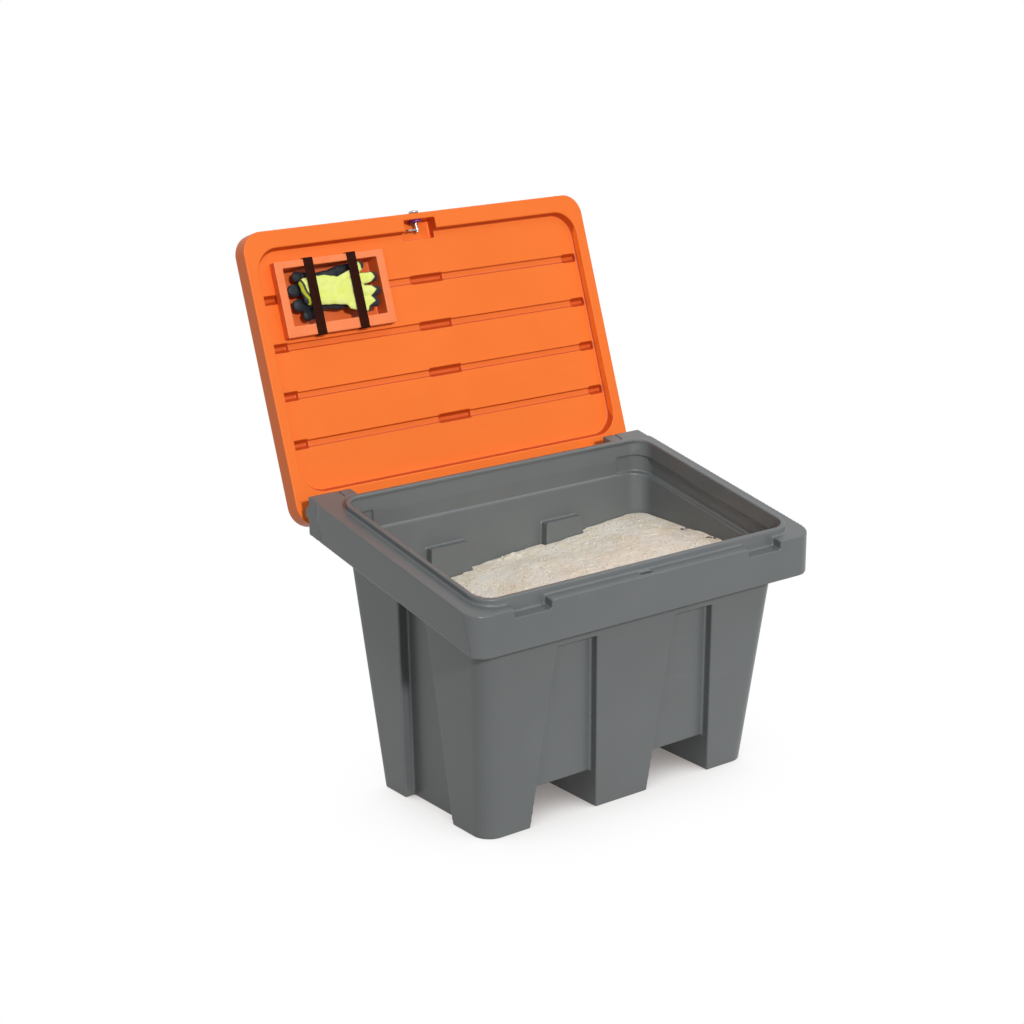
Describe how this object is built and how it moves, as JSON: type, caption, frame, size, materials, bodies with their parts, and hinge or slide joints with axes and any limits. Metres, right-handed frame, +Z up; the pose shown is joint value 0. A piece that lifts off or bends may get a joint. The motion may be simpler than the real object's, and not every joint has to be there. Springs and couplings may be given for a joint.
{
  "type": "grit salt bin",
  "caption": "Moulded grit bin on runners with a sloping rim, a double-skinned lid leaning back open, a lock and a strapped glove tray, filled with grit.",
  "frame": {"origin": "on the floor at the centre of the footprint, on the foot of the middle runner", "axes": "+X to the right along the front, -Y towards the user at the front, +Z up"},
  "size_m": [1, 0.9345, 1.2702],
  "materials": {
    "bin_plastic": "moulded, satin, slightly cloudy",
    "lid_plastic": "moulded, satin",
    "tray_plastic": "vacuum formed, satin",
    "grit": "loose grains",
    "steel": "zinc plated",
    "lock_chrome": "polished",
    "cap_plastic": "moulded, glossy",
    "bush_plastic": "moulded",
    "strap_rubber": "smooth flat band",
    "yellow_knit": "fine knit with a coated palm",
    "black_knit": "fine knit with a coated palm"
  },
  "bodies": {
    "bin": {"bin_body": "bin_plastic", "grit_fill": "grit", "hinge_bracket_left": "bin_plastic", "hinge_bracket_right": "bin_plastic", "hinge_pin_left": "steel", "hinge_pin_right": "steel"},
    "lid": {"lid_outer_shell": "lid_plastic", "lid_inner_panel": "lid_plastic", "hinge_bush_left": "bush_plastic", "hinge_bush_right": "bush_plastic", "glove_tray": "tray_plastic", "strap_left": "strap_rubber", "strap_right": "strap_rubber", "glove_yellow": "yellow_knit", "glove_black": "black_knit", "lock_barrel": "lock_chrome", "lock_cap": "cap_plastic"},
    "lock": {"lock_head": "lock_chrome", "lock_shaft": "steel", "lock_lever": "steel"}
  },
  "joints": [
    {"name": "lid_hinge", "type": "hinge", "parent": "bin", "child": "lid", "pos_m": [0, 0.33356, 0.65483], "axis": [1, 0, 0], "range_deg": [0, 120]},
    {"name": "lock_turn", "type": "hinge", "parent": "lid", "child": "lock", "pos_m": [0, 0.60251, 1.24407], "axis": [0, 0.3305, 0.9438], "range_deg": [0, 90]}
  ]
}
